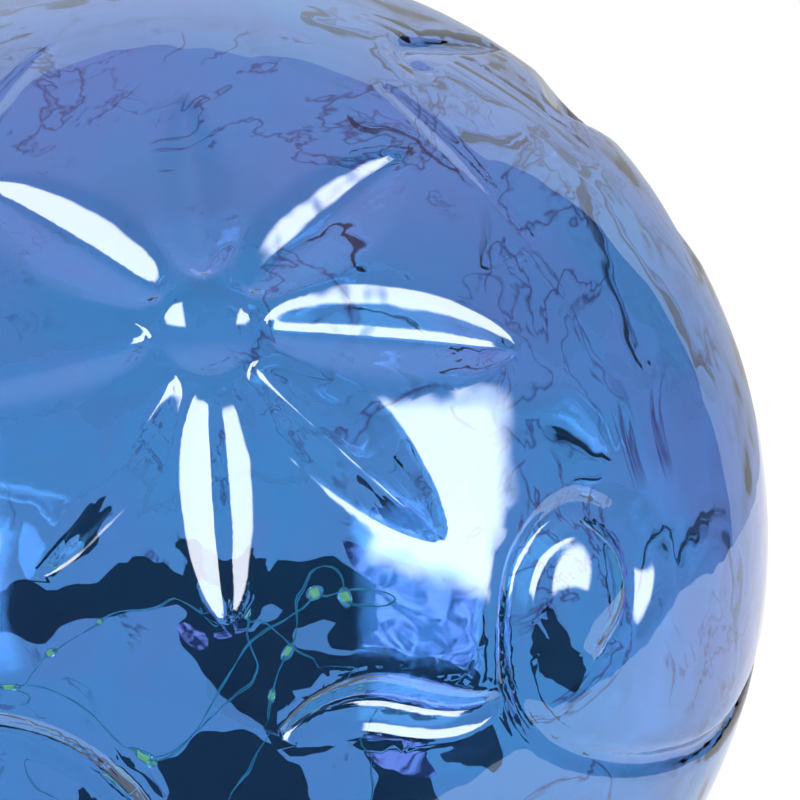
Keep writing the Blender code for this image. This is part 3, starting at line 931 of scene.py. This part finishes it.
def beads_on(route, settings, stage):
    """For each bead its middle, its way along the wire and its size."""
    places = [Vector(p) for p in route]
    found = []
    for x, y, size in BEADS:
        start = behind_pixel(stage, x, y, SIGHT_NEARER)
        sight = (behind_pixel(stage, x, y, 0.0) - start).normalized()
        gaps = [((p - start) - sight * (p - start).dot(sight)).length for p in places]
        i = min(range(1, len(places) - 1), key=gaps.__getitem__)
        ahead = (places[i + 1] - places[i - 1]).normalized()
        found.append((places[i], ahead, size * settings.bead_length))
    return found


def laid_along(middle, ahead, sides, length):
    """Matrix that gives a unit shape its sides and lays it along the wire."""
    turn = Vector((0, 0, 1)).rotation_difference(ahead).to_matrix().to_4x4()
    shape = Matrix.Diagonal((*(share * length for share in sides), 1))
    return Matrix.Translation(middle) @ turn @ shape


def bead(bm, middle, ahead, length):
    """A drop that swells on the twin wires."""
    bmesh.ops.create_uvsphere(bm, u_segments=16, v_segments=12, radius=1.0,
                              matrix=laid_along(middle, ahead, BEAD_SIDES, length))


def chip(bm, middle, ahead, length):
    made = bmesh.ops.create_cube(bm, size=1.0,
                                 matrix=laid_along(middle, ahead, CHIP_SIDES, length))
    edges = list({e for v in made["verts"] for e in v.link_edges})
    bmesh.ops.bevel(bm, geom=edges, offset=CHIP_EDGE * length, segments=2, profile=0.5,
                    material=-1, affect="EDGES")


class OBJECT_OT_gazing_ball_lights(bpy.types.Operator):
    """String the small lights inside the ball"""
    bl_idname = "object.gazing_ball_lights"
    bl_label = "Lights inside"

    def execute(self, context):
        settings = context.scene.gazing_lights
        stage = context.scene.gazing_stage
        route = lights_route(stage)
        twins = []
        for line in (route, *side_routes(stage)):
            twins += twin_routes(line, TWINS_APART * settings.wire_thickness, TWIN_TURN)
        wires = wire_curve("light_wires", twins, settings.wire_thickness / 2)
        wires.data.materials.append(wire_material(settings))
        drops = bmesh.new()
        chips = bmesh.new()
        for middle, ahead, size in beads_on(route, settings, stage):
            bead(drops, middle, ahead, size)
            chip(chips, middle, ahead, size)
        beads = finish_piece("light_beads", drops, [epoxy_material()])
        marks = finish_piece("light_chips", chips, [chip_material(settings)], sharp=30)
        for piece, slot in ((wires, "dark_plastic"), (beads, "lustre_glass"),
                            (marks, "dark_plastic")):
            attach(piece, "root")
        return {"FINISHED"}


def emitting(name, colour):
    """Glowing material and its node tree."""
    material = bpy.data.materials.new(name)
    material.use_nodes = True
    tree = material.node_tree
    tree.nodes.clear()
    glow = tree.nodes.new("ShaderNodeEmission")
    glow.inputs["Color"].default_value = colour
    out = tree.nodes.new("ShaderNodeOutputMaterial")
    tree.links.new(glow.outputs["Emission"], out.inputs["Surface"])
    material.cycles.emission_sampling = "NONE"
    return material, tree


def split(tree, place):
    """The parts of a place, by X, Y and Z."""
    node = tree.nodes.new("ShaderNodeSeparateXYZ")
    tree.links.new(place, node.inputs[0])
    return node.outputs


def view_axes(elevation):
    e = math.radians(elevation)
    towards = Vector((0, -math.cos(e), math.sin(e)))
    up = Vector((0, math.sin(e), math.cos(e)))
    return Vector((1, 0, 0)), up, towards


def lens_and_turn(distance):
    """Focal length in pixels, and how far the camera turns off the ball's middle."""
    pixels = BALL_RADIUS_PX * math.sqrt(distance ** 2 - BALL_RADIUS ** 2) / BALL_RADIUS
    to_middle = Vector((BALL_MIDDLE_PX[0] - PHOTO_SIZE / 2, PHOTO_SIZE / 2 - BALL_MIDDLE_PX[1],
                        -pixels)).normalized()
    return pixels, Vector((0, 0, -1)).rotation_difference(to_middle).to_matrix()


def add_camera(settings):
    """Camera that puts the ball's middle and outline where the photograph has them."""
    distance = settings.camera_distance
    pixels, turn = lens_and_turn(distance)
    right, up, towards = view_axes(settings.camera_elevation)
    data = bpy.data.cameras.new("camera")
    data.sensor_width = SENSOR_WIDTH
    data.lens = pixels * SENSOR_WIDTH / PHOTO_SIZE
    data.clip_end = 100
    camera = add_object("camera", data)
    looking = Matrix((right, up, towards)).transposed()
    camera.matrix_world = Matrix.Translation(BALL_CENTRE + towards * distance) @ (
        looking @ turn.inverted()).to_4x4()
    bpy.context.scene.camera = camera


def add_softbox(name, azimuths, elevations, roll, yaw, settings):
    """Softbox over the given angles; a yaw brings its right side nearer."""
    right, up, towards = view_axes(settings.camera_elevation)
    a, b = (math.radians(sum(span) / 2) for span in (azimuths, elevations))
    way = (right * math.sin(a) + towards * math.cos(a)) * math.cos(b) + up * math.sin(b)
    side = up.cross(way).normalized()
    turn = Matrix((side, way.cross(side), way)).transposed() @ Matrix.Rotation(
        math.radians(roll), 3, "Z") @ Matrix.Rotation(math.radians(yaw), 3, "Y")
    data = bpy.data.lights.new(name, "AREA")
    data.shape = "RECTANGLE"
    data.size, data.size_y = (2 * SOFTBOX_DISTANCE * math.tan(math.radians((high - low) / 2))
                              for low, high in (azimuths, elevations))
    data.energy = SOFTBOX_WATTS_PER_AREA * data.size * data.size_y
    data.color = SOFTBOX_COLOUR
    soften_edges(data)
    light = add_object(name, data)
    light.matrix_world = Matrix.Translation(BALL_CENTRE + towards * BALL_RADIUS
                                            + way * SOFTBOX_DISTANCE) @ turn.to_4x4()
    light.visible_camera = False


def soften_edges(data):
    """Let a light fade towards its edges, as cloth over a lamp does."""
    data.use_nodes = True
    tree = data.node_tree
    place = tree.nodes.new("ShaderNodeNewGeometry")
    parts = split(tree, place.outputs["Parametric"])
    fades = [map_range(tree, calculate(tree, "PINGPONG", parts[axis], 0.5), (0.0, SOFTBOX_EDGE),
                       smooth=True) for axis in ("X", "Y")]
    tree.links.new(calculate(tree, "MULTIPLY", *fades), tree.nodes["Emission"].inputs["Strength"])


class OBJECT_OT_gazing_ball_stage(bpy.types.Operator):
    """Set the camera, the pale floor, the room, the soft lights and the sheets of painted shade and
    glow
    """
    bl_idname = "object.gazing_ball_stage"
    bl_label = "Stage"

    def execute(self, context):
        settings = context.scene.gazing_stage
        add_camera(settings)
        context.scene.view_settings.view_transform = "Standard"
        bm = bmesh.new()
        bmesh.ops.create_circle(bm, cap_ends=True, segments=TABLE_SEGMENTS, radius=TABLE_RADIUS)
        bmesh.ops.scale(bm, verts=bm.verts, vec=(TABLE_STRETCH, 1, 1))
        bmesh.ops.translate(bm, verts=bm.verts, vec=(0, TABLE_BEHIND, 0))
        pale = new_material("pale_floor", {"Base Color": FLOOR_COLOUR, "Roughness": 0.7})[0]
        finish_piece("floor", bm, [pale])
        world = bpy.data.worlds.new("studio")
        context.scene.world = world
        world.use_nodes = True
        background = world.node_tree.nodes["Background"]
        background.inputs["Color"].default_value = WHITE
        background.inputs["Strength"].default_value = 1.0
        room_part("room", False, room_glow())
        room_part("backdrop", True, backdrop_glow())
        for name, spans in SOFTBOXES.items():
            add_softbox(name, *spans, settings)
        # Painted shade: black glowing sheets that darken what is seen through the glass
        black = emitting("painted_shade_black", PAINTED_SHADE_COLOUR)[0]
        white = emitting("backdrop_white", WHITE)[0]
        for kind, outlines, behind, material in (
                ("painted_shade_", PAINTED_SHADE_SHAPES, PAINTED_SHADE_BEHIND, black), ("gap_", GAPS, GAP_BEHIND, white),
                ("painted_glow_", PAINTED_GLOWS, GAP_BEHIND, painted_glow())):
            for name, outline in outlines.items():
                add_painted_sheet(kind + name, outline, behind, material, settings)
        return {"FINISHED"}


def painted_glow():
    """Violet glow that paints reflected light seen through the glass, brighter in wisps."""
    material, tree = emitting("drift", WHITE)
    wisps = map_range(tree, noise_on(tree, places_on(tree), *GLOW_NOISE), GLOW_SPAN)
    tree.links.new(mixed(tree, wisps, *GLOW_COLOURS), tree.nodes["Emission"].inputs["Color"])
    return material


def hide_from_most(piece):
    piece.visible_camera = False
    piece.visible_diffuse = False
    piece.visible_shadow = False


def add_painted_sheet(name, outline, behind, material, settings):
    """Flat sheet behind the ball that only rays through the glass meet, painting what is seen
    there.
    """
    places = [behind_pixel(settings, x, y, -behind) for x, y in outline]
    curve = smooth_route(places + places[:1], SHEET_STEP)[:-1]
    bm = bmesh.new()
    face = bm.faces.new([bm.verts.new(p) for p in curve])
    bmesh.ops.triangulate(bm, faces=[face])
    sheet = finish_piece(name, bm, [material])
    hide_from_most(sheet)
    sheet.visible_glossy = False


def glow_between(tree, value, span, glows):
    """Glow that rises over a span in radii of the room."""
    reach = [share * ROOM_RADIUS for share in span]
    tree.links.new(map_range(tree, value, reach, glows, smooth=True),
                   tree.nodes["Emission"].inputs["Strength"])


def room_glow():
    """Dim light of the room, most of it from the ceiling over the backdrop."""
    material, tree = emitting("room_dim", ROOM_COLOUR)
    ceiling = calculate_vector(tree, "DOT_PRODUCT", places_on(tree), CEILING_WAY)["Value"]
    glow_between(tree, ceiling, CEILING_SPAN, (ROOM_GLOW, CEILING_GLOW))
    return material


def backdrop_glow():
    """The backdrop as reflections show it: a cool grey, lighter towards its top."""
    material, tree = emitting("backdrop_grey", BACKDROP_COLOUR)
    glow_between(tree, split(tree, places_on(tree))["Z"], BACKDROP_SPAN,
                 (BACKDROP_LOW_GLOW, BACKDROP_HIGH_GLOW))
    return material


def room_part(name, backdrop, material):
    """The backdrop's part of a shell round the ball, or all but that; only reflections show it."""
    bm = bmesh.new()
    bmesh.ops.create_icosphere(bm, subdivisions=4, radius=ROOM_RADIUS)
    for side in ((1, -BACKDROP_SIDE_SLOPE, 0), (-1, -BACKDROP_SIDE_SLOPE, 0),
                 (0, -BACKDROP_TOP_SLOPE, 1)):
        bmesh.ops.bisect_plane(bm, geom=bm.verts[:] + bm.edges[:] + bm.faces[:],
                               plane_co=(0, 0, 0), plane_no=side)
    left_out = []
    for face in bm.faces:
        x, y, z = face.calc_center_median()
        if (abs(x) < BACKDROP_SIDE_SLOPE * y and z < BACKDROP_TOP_SLOPE * y) != backdrop:
            left_out.append(face)
    bmesh.ops.delete(bm, geom=left_out, context="FACES")
    bmesh.ops.reverse_faces(bm, faces=bm.faces)
    bmesh.ops.translate(bm, verts=bm.verts, vec=BALL_CENTRE)
    room = finish_piece(name, bm, [material])
    hide_from_most(room)
    room.visible_transmission = False


class VIEW3D_PT_gazing_ball(bpy.types.Panel):
    bl_label = "Gazing Ball"
    bl_idname = "VIEW3D_PT_gazing_ball"
    bl_space_type = "VIEW_3D"
    bl_region_type = "UI"
    bl_category = "Gazing Ball"

    def draw(self, context):
        for name in ("gazing_ball", "gazing_lights", "gazing_stage"):
            settings = getattr(context.scene, name)
            for key in settings.__annotations__:
                self.layout.prop(settings, key)
        for operator in OPERATORS:
            self.layout.operator(operator.bl_idname)


OPERATORS = (OBJECT_OT_gazing_ball_stage, OBJECT_OT_gazing_ball_plug, OBJECT_OT_gazing_ball_lights,
             OBJECT_OT_gazing_ball_glass)
CLASSES = (BallSettings, LightsSettings, StageSettings) + OPERATORS + (VIEW3D_PT_gazing_ball,)


def register():
    for cls in CLASSES:
        bpy.utils.register_class(cls)
    bpy.types.Scene.gazing_ball = PointerProperty(type=BallSettings)
    bpy.types.Scene.gazing_lights = PointerProperty(type=LightsSettings)
    bpy.types.Scene.gazing_stage = PointerProperty(type=StageSettings)


def unregister():
    for name in ("gazing_ball", "gazing_lights", "gazing_stage"):
        delattr(bpy.types.Scene, name)
    for cls in reversed(CLASSES):
        bpy.utils.unregister_class(cls)


def main():
    register()
    bpy.ops.object.gazing_ball_stage()
    bpy.ops.object.gazing_ball_plug()
    bpy.ops.object.gazing_ball_lights()
    bpy.ops.object.gazing_ball_glass()


if __name__ == "__main__":
    main()
